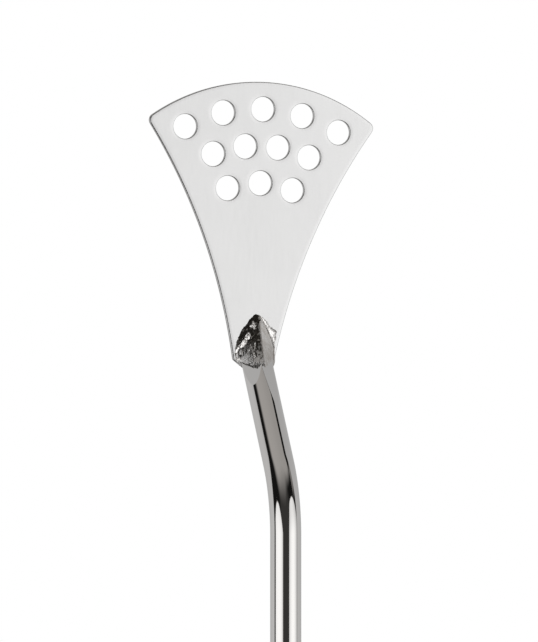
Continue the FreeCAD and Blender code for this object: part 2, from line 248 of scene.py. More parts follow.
# backdrop behind the object: its edges, its light on the left and on the right, and the
# heading either way, in radians, where the one has turned into the other
BACKDROP_LEFT = (-91, -87)
BACKDROP_LEFT_RAMP = (25, 45)
BACKDROP_RIGHT = math.radians(95)
BACKDROP_LEFT_LIGHT = (0.73, 0.60)
BACKDROP_RIGHT_LIGHT = (0.67, 0.56)
BACKDROP_LIGHT_RAMP = (0, 45)
BACKDROP_SIDES = 0.5
BACKDROP_REAR = 0.8
BACKDROP_REAR_RAMP = (105, 170)


def soft_box(n, heading, height, box):
    """Mask and brightness of a soft box with an arched top."""
    offset = n.math("SUBTRACT", heading, math.radians(box.tip))
    to_right = n.math("MAXIMUM", n.math("DIVIDE", offset, math.radians(box.right)), 0)
    to_left = n.math("MAXIMUM", n.math("DIVIDE", offset, -math.radians(box.left)), 0)
    fall = n.math("ADD", n.math("POWER", to_right, box.square_right),
                  n.math("POWER", to_left, box.square_left))
    arch = n.math("MAXIMUM", n.math("SUBTRACT", 1, fall), 0)
    top = n.math("MULTIPLY_ADD", arch, math.radians(box.rise), math.radians(box.shoulder))
    mask = n.step(n.math("SUBTRACT", top, height), -EDGE / 2, EDGE / 2)
    sides = ((to_left, BOX_SOFT_LEFT / box.left), (to_right, box.soft_right / box.right))
    for share, softness in sides:
        mask = n.product(mask, n.step(share, 1 + softness / 2, 1 - softness / 2))
    bottom = n.step(height, BOX_BOTTOM - BOX_BOTTOM_FADE, BOX_BOTTOM + BOX_BOTTOM_FADE)
    lost = n.math("ADD", n.product(n.math("POWER", to_left, 2), box.dim_left),
                  n.product(n.math("POWER", to_right, 2), box.dim_right))
    light = n.sweep(height, *BOX_LIGHT_RAMP, *BOX_LIGHT)
    return n.product(mask, bottom), n.product(light, n.math("SUBTRACT", 1, lost))


def ceiling(n, heading, height):
    """Mask of the ceiling: it fades out slowly straight ahead and sharply at the sides."""
    aside = n.math("MAXIMUM", n.sweep(heading, *START_RAMP_LEFT),
                   n.sweep(heading, *START_RAMP_RIGHT))
    start = n.math("MULTIPLY_ADD", aside, math.radians(CEILING_START_RISE),
                   math.radians(CEILING_START))
    drop = n.math("ADD",
                  n.product(n.sweep(heading, *FULL_RAMP_LEFT), math.radians(CEILING_FULL_DROP_LEFT)),
                  n.product(n.sweep(heading, *FULL_RAMP_RIGHT), math.radians(CEILING_FULL_DROP_RIGHT)))
    full = n.math("SUBTRACT", math.radians(CEILING_FULL), drop)
    below_top = n.math("SUBTRACT", 1, n.sweep(height, *CEILING_GAP_TOP))
    gap = n.product(n.sweep(heading, *CEILING_GAP), below_top)
    return n.product(n.step(height, start, full), n.math("SUBTRACT", 1, gap))


def backdrop(n, heading, height):
    """Mask and brightness of the pale backdrop behind the object."""
    left_edge = n.sweep(height, *BACKDROP_LEFT_RAMP, *(math.radians(a) for a in BACKDROP_LEFT))
    mask = n.math("MAXIMUM", n.step(n.math("SUBTRACT", heading, left_edge), EDGE, -EDGE),
                  n.step(heading, BACKDROP_RIGHT - EDGE, BACKDROP_RIGHT + EDGE))
    on_right = n.step(heading, -BACKDROP_SIDES, BACKDROP_SIDES)
    low_light, high_light = (n.level(on_right, left, right) for left, right in
                             zip(BACKDROP_LEFT_LIGHT, BACKDROP_RIGHT_LIGHT))
    light = n.sweep(height, *BACKDROP_LIGHT_RAMP, low_light, high_light)
    rear = n.sweep(n.math("ABSOLUTE", heading), *BACKDROP_REAR_RAMP, 1.0, BACKDROP_REAR)
    return mask, n.product(light, rear)


def heading_and_height(n, direction):
    """Angles of a direction about the fixed axes of the camera's place."""
    turn = camera_turn() @ BLADE.to_3x3().transposed()
    parts = []
    for axis in turn.row:
        dot = n.add("VectorMath", operation="DOT_PRODUCT")
        n.put(dot.inputs[0], direction)
        n.put(dot.inputs[1], axis)
        parts.append(dot.outputs["Value"])
    across, up, toward = parts
    return n.math("ARCTAN2", across, toward), n.math("ARCSINE", up)


def studio_light(n, direction):
    """Studio's brightness in a direction, and where it's a clean white."""
    heading, height = heading_and_height(n, direction)
    ahead = n.sweep(n.math("ABSOLUTE", heading), *DARK_AHEAD)
    dark = n.math("MULTIPLY_ADD", ahead, DARK_LIGHT - GAP_LIGHT, GAP_LIGHT)
    roof = n.step(heading, -CEILING_END, CEILING_END, *CEILING_LIGHT)
    light = n.level(ceiling(n, heading, height), dark, roof)
    strip = n.product(n.sweep(heading, *STRIP_START), n.sweep(height, *STRIP_TOP),
                      n.sweep(height, *STRIP_BOTTOM))
    light = n.level(strip, light, STRIP_LIGHT)
    clean = 0.0
    for box in (LEFT_BOX, RIGHT_BOX):
        mask, box_light = soft_box(n, heading, height, box)
        light = n.level(mask, light, box_light)
        clean = n.math("MAXIMUM", clean, mask)
    mask, backdrop_light = backdrop(n, heading, height)
    return n.level(mask, light, backdrop_light), n.math("MAXIMUM", clean, mask)


ROOM_TINT = grey(1.0, 0.045)
LAMP_TINT = grey(1.0, 0.004)


def make_world(scene):
    """Studio seen in reflections; the camera itself sees plain white."""
    world = bpy.data.worlds.new("studio")
    world.use_nodes = True
    scene.world = world
    n = Nodes(world.node_tree)
    light, clean = studio_light(n, n.add("TexCoord").outputs["Generated"])
    lit = n.add("Background")
    n.put(lit.inputs["Color"], n.blend(clean, ROOM_TINT, LAMP_TINT))
    n.put(lit.inputs["Strength"], light)
    plain = n.add("Background")
    plain.inputs["Color"].default_value = grey(1.0)
    pick = n.add("MixShader")
    n.put(pick.inputs[0], n.add("LightPath").outputs["Is Camera Ray"])
    n.put(pick.inputs[1], lit.outputs[0])
    n.put(pick.inputs[2], plain.outputs[0])
    n.put(n.add("OutputWorld").inputs["Surface"], pick.outputs[0])


FLOOR_HALF_WIDTH = 2.0


def make_floor():
    """Plain white floor; in reflections the studio stands in for it."""
    half = FLOOR_HALF_WIDTH
    corners = [(-half, -half, 0), (half, -half, 0), (half, half, 0), (-half, half, 0)]
    mesh = bpy.data.meshes.new("floor")
    mesh.from_pydata(corners, [], [(0, 1, 2, 3)])
    floor = bpy.data.objects.new("floor", mesh)
    bpy.context.scene.collection.objects.link(floor)
    material = bpy.data.materials.new("white_floor")
    material.use_nodes = True
    n = Nodes(material.node_tree)
    glow = n.add("Emission")
    glow.inputs["Color"].default_value = grey(1.0)
    pick = n.add("MixShader")
    n.put(pick.inputs[0], n.add("LightPath").outputs["Is Camera Ray"])
    n.put(pick.inputs[1], n.add("BsdfTransparent").outputs[0])
    n.put(pick.inputs[2], glow.outputs[0])
    n.put(n.add("OutputMaterial").inputs["Surface"], pick.outputs[0])
    mesh.materials.append(material)


# ---------------------------------------------------------------- materials

def metal(name):
    """Empty metal material: returns it with its node builder and shader."""
    material = bpy.data.materials.new(name)
    material.use_nodes = True
    n = Nodes(material.node_tree)
    shader = n.add("BsdfPrincipled")
    shader.inputs["Metallic"].default_value = 1.0
    n.put(n.add("OutputMaterial").inputs["Surface"], shader.outputs[0])
    return material, n, shader


def put_bump(n, shader, height, strength, distance_mm):
    bump = n.add("Bump")
    bump.inputs["Strength"].default_value = strength
    bump.inputs["Distance"].default_value = distance_mm * MM
    n.put(bump.inputs["Height"], height)
    n.put(shader.inputs["Normal"], bump.outputs[0])


# lines per metre across and along the part, in the blade's grain and in the bar's scratches
GRAIN_LINES = (4000, 160)
SCRATCH_LINES = (2500, 60)
# places out of the face where the blade's cut edge begins and where it is fully darker: painted shade,
# which also darkens the hole walls and the back face
CUT_EDGE_SHADE = (-0.12, -0.3)


def lines_along(n, place, across, along):
    """Texture space for fine lines that run along the part, by their scales both ways."""
    made = n.add("Mapping")
    made.inputs["Scale"].default_value = (across, along, along)
    n.put(made.inputs["Vector"], place)
    return made.outputs[0]


def satin_steel():
    """Fine satin polish: faint brushed grain along the blade, soft smudges, and rougher cut edges
    whose darker colour is painted shade.
    """
    material, n, shader = metal("satin_steel")
    place = n.add("TexCoord").outputs["Object"]
    grain = n.noise(lines_along(n, place, *GRAIN_LINES), 1.0, detail=4)
    smudge = n.noise(place, 45, detail=4, distortion=0.6)
    # painted shade: below the front face, on cut edges, hole walls and the back, the base colour turns
    # darker
    cut = n.step(coordinate(n, blade_place(n), 2), *CUT_EDGE_SHADE)
    face = n.blend(smudge, grey(0.59), grey(0.62))
    n.put(shader.inputs["Base Color"], n.blend(cut, face, grey(0.40, 0.01)))
    sheen = n.step(n.math("ADD", grain, smudge), 0.6, 1.4, 0.19, 0.27)
    n.put(shader.inputs["Roughness"], n.level(cut, sheen, 0.32))
    put_bump(n, shader, grain, 0.04, 0.05)
    return material


def mirror_steel():
    """Polished bar: almost a mirror, with hairline scratches and faint haze."""
    material, n, shader = metal("mirror_steel")
    place = n.add("TexCoord").outputs["Object"]
    scratches = n.noise(lines_along(n, place, *SCRATCH_LINES), 1.0, detail=5)
    haze = n.noise(place, 60, detail=5, distortion=1.0)
    n.put(shader.inputs["Base Color"], n.blend(haze, grey(0.61, 0.01), grey(0.64, 0.02)))
    n.put(shader.inputs["Roughness"], n.step(haze, 0.3, 0.75, 0.03, 0.07))
    put_bump(n, shader, scratches, 0.02, 0.02)
    return material


def blade_place(n):
    """Position in the blade's frame, in millimetres."""
    made = n.add("Mapping", vector_type="TEXTURE")
    made.inputs["Location"].default_value = BLADE.translation
    made.inputs["Rotation"].default_value = BLADE.to_euler()
    made.inputs["Scale"].default_value = (MM, MM, MM)
    n.put(made.inputs["Vector"], n.add("TexCoord").outputs["Object"])
    return made.outputs[0]


def coordinate(n, place, axis):
    """One coordinate of a place: across (0), up the blade (1) or out of its face (2)."""
    made = n.add("SeparateXYZ")
    n.put(made.inputs[0], place)
    return made.outputs[axis]


def along_bead(n, place, lean, stretch):
    """Texture space drawn out along a bead that leans by some angle from straight up."""
    made = n.add("Mapping", vector_type="TEXTURE")
    made.inputs["Rotation"].default_value = (0.0, 0.0, -lean)
    made.inputs["Scale"].default_value = (1.0, stretch, 1.0)
    n.put(made.inputs["Vector"], place)
    return made.outputs[0]


def ragged(n, place, reach):
    """A place pushed about by noise, so that smooth outlines drawn there come out torn."""
    push = n.add("TexNoise")
    push.inputs["Scale"].default_value = 1.1
    push.inputs["Detail"].default_value = 5.0
    push.inputs["Roughness"].default_value = 0.65
    n.put(push.inputs["Vector"], place)
    centred = n.add("VectorMath", operation="SUBTRACT")
    n.put(centred.inputs[0], push.outputs["Color"])
    centred.inputs[1].default_value = (0.5, 0.5, 0.5)
    pushed = n.add("VectorMath", operation="MULTIPLY_ADD")
    n.put(pushed.inputs[0], centred.outputs[0])
    pushed.inputs[1].default_value = (reach, reach, reach)
    n.put(pushed.inputs[2], place)
    return pushed.outputs[0]


def patches(n, place, spots):
    """Oval patches in the blade's frame: their mask, and how far up its oval a place is."""
    mask = 0.0
    rise = 0.0
    for x, y, half_across, half_along, lean in spots:
        oval = n.add("Mapping", vector_type="TEXTURE")
        oval.inputs["Location"].default_value = (x, y, 0.0)
        oval.inputs["Rotation"].default_value = (0.0, 0.0, -lean)
        oval.inputs["Scale"].default_value = (half_across, half_along, ANY_HEIGHT)
        n.put(oval.inputs["Vector"], place)
        reach = n.add("VectorMath", operation="LENGTH")
        n.put(reach.inputs[0], oval.outputs[0])
        inside = n.step(reach.outputs["Value"], 1.15, 0.95)
        up = coordinate(n, oval.outputs[0], 1)
        lift = n.product(inside, n.product(up, half_along * math.cos(lean)))
        mask = n.math("MAXIMUM", mask, inside)
        rise = n.math("ADD", rise, lift)
    return mask, rise


# half height of an oval that takes in the bead whatever its height
ANY_HEIGHT = 1000.0
# bare metal showing through the scale of the left bead, set where its glints are, its near-white
# colour partly a painted glint: middle, half sizes, lean
BARE_GLINT_SPOTS = ((-1.3, -13.8, 0.45, 1.3, 0.0), (-1.4, -14.0, 0.9, 0.4, -0.2),
              (-3.3, -17.5, 0.6, 1.3, 0.4), (-4.5, -19.6, 0.55, 2.0, 0.5),
              (-5.9, -21.5, 0.3, 1.7, 0.4), (-5.9, -25.4, 0.4, 1.0, 0.6),
              (-2.3, -22.8, 0.25, 0.4, 0.1), (-2.4, -23.8, 0.25, 0.35, 0.1),
              (-3.5, -21.9, 0.13, 1.2, 0.5), (-1.6, -20.3, 0.12, 1.3, 0.2),
              (-2.7, -20.6, 0.1, 0.9, -0.3), (0.5, -15.6, 0.16, 1.4, 0.05))
BARE_RAG = 1.0
# lean of the beads and of the file marks from straight up the blade, in radians
BEAD_LEAN = 0.48
FILE_LEAN = 0.35
# slope that turns a bare patch up the blade, against the mound's rise
PATCH_TILT = 0.2
# places up the blade where the scale starts to thin, where its veins open, and where it ends
SCALE_THINS = (-16.5, -22.5)
VEINS_OPEN = (-22.8, -25.5)
SCALE_ENDS = (-24.6, -25.8)


def scale_colour(n, place, streaks):
    """Colour of the scale, and a mask of where it is thin."""
    up = coordinate(n, place, 1)
    run = n.noise(along_bead(n, place, 0.1, 3.5), 1.5, detail=4, rough=0.55, distortion=0.5)
    thin = n.step(n.math("ADD", up, n.product(streaks, 4)), *SCALE_THINS)
    opening = n.product(n.step(up, *VEINS_OPEN), 0.13)
    veins = n.step(n.math("ADD", run, opening), 0.46, 0.56)
    last = n.step(up, *SCALE_ENDS)
    thinned = n.blend(n.math("MAXIMUM", veins, last), grey(0.05, 0.08), grey(0.62, 0.01))
    return n.blend(thin, grey(0.035, 0.12), thinned), thin


def scaled_steel():
    """Left bead: glossy black-brown scale, bare metal spots whose near-white colour is partly a
    painted glint, greyer where it thins over the bar.
    """
    material, n, shader = metal("scaled_weld")
    place = blade_place(n)
    drawn = along_bead(n, place, BEAD_LEAN, 2.6)
    streaks = n.noise(drawn, 1.7, detail=5, rough=0.62, distortion=0.7)
    fine = n.noise(drawn, 6.0, detail=3)
    scale, thin = scale_colour(n, place, streaks)
    glossy = n.step(streaks, 0.56, 0.66)
    colour = n.blend(glossy, scale, grey(0.42, 0.05))
    bare, rise = patches(n, ragged(n, place, BARE_RAG), BARE_GLINT_SPOTS)
    # painted highlight, in part: the bare spots get a near-white colour so that they read as glints
    n.put(shader.inputs["Base Color"], n.blend(bare, colour, grey(0.92, 0.02)))
    rough = n.step(fine, 0.3, 0.7, 0.16, 0.36)
    n.put(shader.inputs["Roughness"], n.level(bare, rough, 0.2))
    relief = n.product(n.math("ADD", streaks, n.product(fine, 0.3)), 0.3)
    calm = n.math("MAXIMUM", n.product(bare, 0.7), n.product(thin, 0.35))
    relief = n.product(relief, n.math("SUBTRACT", 1.0, calm))
    put_bump(n, shader, n.math("MULTIPLY_ADD", rise, PATCH_TILT, relief), 1.0, 1.0)
    return material


def bright_steel():
    """Right and heel beads: bare bright metal with a few scale-filled pits, and painted shade in the
    pits' dark colour at the outer side and where the bead meets the blade.
    """
    material, n, shader = metal("bright_weld")
    place = blade_place(n)
    ripple = n.noise(along_bead(n, place, -BEAD_LEAN, 1.6), 1.5, detail=4, distortion=0.8)
    pits = n.noise(place, 2.2, detail=4, distortion=0.5)
    # the dark pit colour is spread over the outer side and where the bead meets the blade as painted
    # shade, for the shadow under the bead's edge
    outer = n.step(coordinate(n, place, 0), 5.4, 7.6, 0.0, 0.13)
    foot = n.step(coordinate(n, place, 2), 0.55, 0.15, 0.0, 0.3)
    dark = n.step(n.math("ADD", n.math("ADD", pits, outer), foot), 0.60, 0.68)
    # dark colour here: real scale in the pits, and painted shade at the outer side and the foot
    n.put(shader.inputs["Base Color"], n.blend(dark, grey(0.9, 0.02), grey(0.13, 0.15)))
    n.put(shader.inputs["Roughness"], n.step(ripple, 0.3, 0.7, 0.2, 0.4))
    put_bump(n, shader, ripple, 0.35, 0.4)
    return material


def dressed_steel():
    """Ground face of the weld: soft warm grey with file marks, darker towards the bar."""
    material, n, shader = metal("dressed_weld")
    place = blade_place(n)
    marks = n.noise(along_bead(n, place, -FILE_LEAN, 9.0), 3.0, detail=3)
    stain = n.noise(along_bead(n, place, -FILE_LEAN, 2.5), 0.9, detail=4, distortion=0.8)
    low = n.step(coordinate(n, place, 1), -12.0, -25.0)
    clean = n.blend(low, grey(0.80, 0.02), grey(0.56, 0.03))
    stained = n.blend(low, grey(0.68, 0.05), grey(0.44, 0.06))
    n.put(shader.inputs["Base Color"], n.blend(n.step(stain, 0.4, 0.65), clean, stained))
    n.put(shader.inputs["Roughness"], n.step(marks, 0.3, 0.7, 0.25, 0.38))
    put_bump(n, shader, marks, 0.25, 0.06)
    return material


# ---------------------------------------------------------------- mesh helpers

def link_piece(name, mesh, material, slot, *nodes):
    """Show a finished mesh as a piece of the root body that stands for some CAD nodes."""
    mesh.materials.append(material)
    piece = bpy.data.objects.new(name, mesh)
    bpy.context.scene.collection.objects.link(piece)
    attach(piece, "root")
    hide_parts(*nodes)
    return piece


def bands(first, second):
    """Quads between two closed loops of vertex numbers of the same length."""
    count = len(first)
    return [(first[k], first[(k + 1) % count], second[(k + 1) % count], second[k])
            for k in range(count)]


class Shell:
    """Points and faces of a mesh in the blade's frame, grown ring by ring."""

    def __init__(self):
        self.points = []
        self.faces = []

    def ring(self, points):
        """Add some points and return their numbers."""
        start = len(self.points)
        self.points.extend(points)
        return list(range(start, len(self.points)))

    def skin(self, rings):
        """Join rings one after another."""
        for first, second in zip(rings, rings[1:]):
            self.faces += bands(first, second)


def make_piece(name, shell, material, slot, *nodes):
    """Smooth-shaded piece from a shell."""
    mesh = bpy.data.meshes.new(name)
    mesh.from_pydata(to_part(shell.points).tolist(), [], shell.faces)
    shape = bmesh.new()
    shape.from_mesh(mesh)
    bmesh.ops.recalc_face_normals(shape, faces=shape.faces)
    shape.to_mesh(mesh)
    shape.free()
    mesh.shade_smooth()
    return link_piece(name, mesh, material, slot, *nodes)


# ---------------------------------------------------------------- blade

FAN_RADIUS = 65.9
FAN_HALF_WIDTH = 39.7
FLANK_RADIUS = 195.6
NECK = np.array((7.15, -25.3))
HEEL = np.array((2.5, -28.7))
TIP_ROUND = 2.2
NECK_ROUND = 1.4
HOLE_RADIUS = 4.05
# rows of holes: distance from the fan centre, pitch in degrees, count
HOLE_ROWS = ((57.0, 13.95, 5), (45.0, 14.5, 4), (32.8, 20.1, 3))
# rims of the holes and of the outline: width and depth of the shallow dish, then of the
# tight round
HOLE_FRONT_RIM = (1.2, 0.04, 0.3, 0.17)
HOLE_BACK_RIM = (0.3, 0.02, 0.9, 1.1)
OUTER_FRONT_RIM = (0.85, 0.03, 0.5, 0.22)
OUTER_BACK_RIM = (0.3, 0.02, 0.8, 0.95)
ROLL_STEPS = 10
HOLE_POINTS = 96
# points along each part of half the outline: fan arc, tip corner, flank, neck, heel
ARC_POINTS = (48, 12, 64, 10, 10)
# last point of half the outline, as a share of the heel's half width
BASE_SHARE = 0.4


def arc(centre, radius, start, stop, count, outward):
    """Points and outward normals along an arc, its last point left out."""
    angles = np.linspace(start, stop, count, endpoint=False)
    radial = np.stack((np.cos(angles), np.sin(angles)), 1)
    return np.concatenate((centre + radius * radial, outward * radial), 1)


def heading_of(vector):
    """Angle of a plan vector from the +X axis."""
    return math.atan2(vector[1], vector[0])


def circles_meet(first, first_radius, second, second_radius):
    """The point at those distances from two centres, on the blade's fan side."""
    gap = second - first
    reach = np.linalg.norm(gap)
    along = (first_radius ** 2 - second_radius ** 2 + reach ** 2) / (2 * reach)
    off = math.sqrt(first_radius ** 2 - along ** 2)
    unit = gap / reach
    return first + unit * along + np.array((-unit[1], unit[0])) * off


def half_outline():
    """Right half of the blade's outline, clockwise from the middle of the fan edge."""
    tip = np.array((FAN_HALF_WIDTH, math.sqrt(FAN_RADIUS ** 2 - FAN_HALF_WIDTH ** 2)))
    chord = tip - NECK
    across = np.array((chord[1], -chord[0])) / np.linalg.norm(chord)
    rise = math.sqrt(FLANK_RADIUS ** 2 - chord @ chord / 4)
    flank = (tip + NECK) / 2 + across * rise
    origin = np.zeros(2)
    # tip corner, tangent to the fan arc and the flank
    corner = circles_meet(origin, FAN_RADIUS - TIP_ROUND, flank, FLANK_RADIUS + TIP_ROUND)
    # neck corner, tangent to the flank and to the cut that runs down to the heel
    cut = (HEEL - NECK) / np.linalg.norm(HEEL - NECK)
    inside = np.array((cut[1], -cut[0]))
    start = NECK + inside * NECK_ROUND - flank
    half = start @ cut
    root = math.sqrt(half ** 2 - start @ start + (FLANK_RADIUS + NECK_ROUND) ** 2)
    slide = min(root - half, -root - half, key=abs)
    neck = NECK + inside * NECK_ROUND + cut * slide
    # heel corner, tangent to the cut and to the flat base
    level = HEEL[1] + NECK_ROUND
    slide = (level - (HEEL + inside * NECK_ROUND)[1]) / cut[1]
    heel = HEEL + inside * NECK_ROUND + cut * slide
    fan_end = heading_of(corner)
    flank_end = heading_of(flank - neck)
    cut_out = heading_of(-inside)
    arcs = (
        (origin, FAN_RADIUS, math.pi / 2, fan_end, 1.0),
        (corner, TIP_ROUND, fan_end, heading_of(flank - corner), 1.0),
        (flank, FLANK_RADIUS, heading_of(corner - flank), heading_of(neck - flank), -1.0),
        (neck, NECK_ROUND, flank_end, cut_out, 1.0),
        (heel, NECK_ROUND, cut_out, -math.pi / 2, 1.0),
    )
    return [arc(*sizes, count, outward)
            for (*sizes, outward), count in zip(arcs, ARC_POINTS)]


def blade_outline():
    """Whole outline: points and outward normals, clockwise."""
    right = np.concatenate(half_outline())
    base = np.array([[HEEL[0] * BASE_SHARE, HEEL[1], 0.0, -1.0]])
    right = np.concatenate((right, base))
    mirror = right[1:][::-1] * np.array((-1, 1, -1, 1))
    return np.concatenate((right, mirror))


def hole_outlines():
    """Each hole's outline: points, and normals that point into the hole."""
    holes = []
    for radius, pitch, count in HOLE_ROWS:
        for k in range(count):
            angle = math.radians(90 + pitch * (k - (count - 1) / 2))
            middle = radius * np.array((math.cos(angle), math.sin(angle)))
            holes.append(arc(middle, HOLE_RADIUS, 0, math.tau, HOLE_POINTS, -1.0))
    return holes


def rim_profile(dish_width, dish_depth, round_width, round_depth):
    """Inset and depth from a flat face to the wall: a shallow dish, then a tight round."""
    steps = [k / ROLL_STEPS for k in range(ROLL_STEPS + 1)]
    dish = [(round_width + dish_width * (1 - t), dish_depth * t * t) for t in steps[:-1]]
    turns = [math.pi / 2 * t for t in steps]
    tight = [(round_width * (1 - math.sin(a)), dish_depth + round_depth * (1 - math.cos(a)))
             for a in turns]
    return dish + tight


def edge_profile(front_rim, back_rim):
    """Inset and depth of the loops down one edge, from the front face to the back face."""
    back = [(inset, BLADE_THICKNESS - depth) for inset, depth in reversed(rim_profile(*back_rim))]
    return rim_profile(*front_rim) + back


def make_blade(material):
    """Plate with softly rolled edges: flat faces filled between the edge bands."""
    shape = bmesh.new()
    rims = ([], [])
    outlines = [(blade_outline(), OUTER_FRONT_RIM, OUTER_BACK_RIM)]
    outlines += [(hole, HOLE_FRONT_RIM, HOLE_BACK_RIM) for hole in hole_outlines()]
    for outline, front_rim, back_rim in outlines:
        loops = []
        for inset, depth in edge_profile(front_rim, back_rim):
            flat = outline[:, :2] - outline[:, 2:] * inset
            points = to_part(np.column_stack((flat, np.full(len(flat), -depth))))
            loops.append([shape.verts.new(p) for p in points])
        for first, second in zip(loops, loops[1:]):
            for corners in bands(first, second):
                shape.faces.new(corners).smooth = True
        for rim, loop in zip(rims, (loops[0], loops[-1])):
            rim += [shape.edges.get(pair) for pair in zip(loop, loop[1:] + loop[:1])]
    for rim in rims:
        bmesh.ops.triangle_fill(shape, use_beauty=True, use_dissolve=False, edges=rim)
    bmesh.ops.recalc_face_normals(shape, faces=shape.faces)
    mesh = bpy.data.meshes.new("satin_blade")
    shape.to_mesh(mesh)
    shape.free()
    return link_piece("satin_blade", mesh, material, "blade_steel", "blade")


# ---------------------------------------------------------------- bar

# points round the bar, and rings along its parts
COLUMNS = 240
SHANK_RINGS = 12
BEND_RINGS = 64
HANDLE_RINGS = 40
END_RINGS = 16
MOUTH_RINGS = 8
# where the rings from the slanted foot have evened out, and the step between them
TIP_END = 30.0
TIP_STEP = 0.2
# how far the foot sinks into the blade's face, and how far either way its edge is looked for
FOOT_BURY = 0.3
FOOT_SEARCH = 12.0
FOOT_HALVINGS = 40
# flats ground on the tip's shoulders: heading round the bar, lowest point along it, slant
FLATS = ((math.radians(-50), 15.6, 0.19), (math.radians(23), 24.5, 0.05))
FLAT_BLEND = 0.015
FLAT_FADE = 2.0
# least cosine between a flat's heading and a heading that it may reach
FLAT_REACH = 0.15
# patch of the handle's skin round each mouth of the hanging hole, in columns and length
PATCH_COLUMNS = 28
PATCH_HALF_LENGTH = 4.2


def slope(angle):
    """Direction, in the blade's middle plane, of a bar that climbs away from the blade."""
    return np.array((0.0, -math.cos(angle), math.sin(angle)))


def bar_stations():
    """Distances along the bar's axis where the mesh has a ring, after the slanted tip."""
    turn = FOOT_ANGLE - HANDLE_ANGLE
    setback = BEND_RADIUS * math.tan(turn / 2)
    bend_start = SHANK_LENGTH - setback
    bend_end = bend_start + BEND_RADIUS * turn
    total = bend_end + HANDLE_LENGTH - setback
    hole = total - HANG_HOLE_INSET
    patch_start = hole - PATCH_HALF_LENGTH
    shank = np.linspace(TIP_END, bend_start, SHANK_RINGS)[1:]
    bend = np.linspace(bend_start, bend_end, BEND_RINGS)[1:]
    handle = np.linspace(bend_end, patch_start, HANDLE_RINGS)[1:]
    patch = np.linspace(patch_start, hole + PATCH_HALF_LENGTH, PATCH_COLUMNS + 1)[1:]
    return np.concatenate((shank, bend, handle)), patch, bend_start, bend_end, hole, total


STATIONS, PATCH_STATIONS, BEND_START, BEND_END, HOLE_AT, BAR_END = bar_stations()


def bar_axis(along):
    """Point of the bar's axis and its front direction, at a distance along it."""
    foot = np.array((0.0, -FOOT_DROP, 0.0))
    if along <= BEND_START:
        angle = FOOT_ANGLE
        point = foot + slope(FOOT_ANGLE) * along
    else:
        turned = min(along - BEND_START, BEND_END - BEND_START) / BEND_RADIUS
        angle = FOOT_ANGLE - turned
        chord = 2 * BEND_RADIUS * math.sin(turned / 2)
        point = (foot + slope(FOOT_ANGLE) * BEND_START + slope(FOOT_ANGLE - turned / 2) * chord
                 + slope(angle) * max(along - BEND_END, 0.0))
    front = np.array((0.0, math.sin(angle), math.cos(angle)))
    return point, front


def bar_point(along, around, radius):
    """Point at a distance along the bar, a heading round it and a distance from its axis."""
    point, front = bar_axis(along)
    side = np.array((1.0, 0.0, 0.0))
    return point + radius * (side * math.sin(around) + front * math.cos(around))


def soft_least(values, blend):
    """Smallest of some values, with the corner between them rounded."""
    low = min(values)
    return low - blend * math.log(sum(math.exp((low - v) / blend) for v in values))


def tip_radius(along, around):
    """Bar radius, less where a flat is ground on a shoulder of its tip."""
    reach = [BAR_RADIUS]
    for heading, end, slant in FLATS:
        facing = math.cos(around - heading)
        if facing > FLAT_REACH and along < end + FLAT_FADE:
            reach.append((BAR_RADIUS - (end - along) * slant) / facing)
    return soft_least(reach, FLAT_BLEND) if len(reach) > 1 else BAR_RADIUS


def foot_along(around):
    """Distance along the bar where its side at this heading is just under the blade's face."""
    low, high = -FOOT_SEARCH, FOOT_SEARCH
    for _ in range(FOOT_HALVINGS):
        middle = (low + high) / 2
        rise = tip_radius(middle, around) * math.cos(around) * math.cos(FOOT_ANGLE)
        if middle * math.sin(FOOT_ANGLE) + rise + FOOT_BURY < 0:
            low = middle
        else:
            high = middle
    return low


def tip_rings():
    """Rings from the slanted foot, evening out to square rings at TIP_END."""
    headings = [math.tau * k / COLUMNS for k in range(COLUMNS)]
    starts = [foot_along(around) for around in headings]
    count = int((TIP_END - min(starts)) / TIP_STEP)
    rings = []
    for level in range(count + 1):
        share = level / count
        rings.append([bar_point(a, h, tip_radius(a, h)) for a, h in
                      ((s + (TIP_END - s) * share, h) for s, h in zip(starts, headings))])
    return rings


def square_ring(along, radius=BAR_RADIUS):
    """Ring square to the bar's axis."""
    return [bar_point(along, math.tau * k / COLUMNS, radius) for k in range(COLUMNS)]


def end_rings():
    """Rounded free end of the handle."""
    rings = [square_ring(BAR_END - END_ROUND)]
    for step in range(1, END_RINGS + 1):
        angle = math.pi / 2 * step / END_RINGS
        rings.append(square_ring(BAR_END - END_ROUND * (1 - math.sin(angle)),
                                 BAR_RADIUS - END_ROUND * (1 - math.cos(angle))))
    return rings


def patch_columns(side):
    """Columns of the skin patch round the hole's front (0) or back (1) mouth."""
    middle = side * COLUMNS // 2
    return [(middle + k) % COLUMNS for k in range(-PATCH_COLUMNS // 2, PATCH_COLUMNS // 2 + 1)]


def patch_border(rings, side):
    """Vertex numbers round a skin patch."""
    columns = patch_columns(side)
    return ([rings[0][c] for c in columns[:-1]] + [ring[columns[-1]] for ring in rings[:-1]]
            + [rings[-1][c] for c in reversed(columns[1:])]
            + [ring[columns[0]] for ring in reversed(rings[1:])])


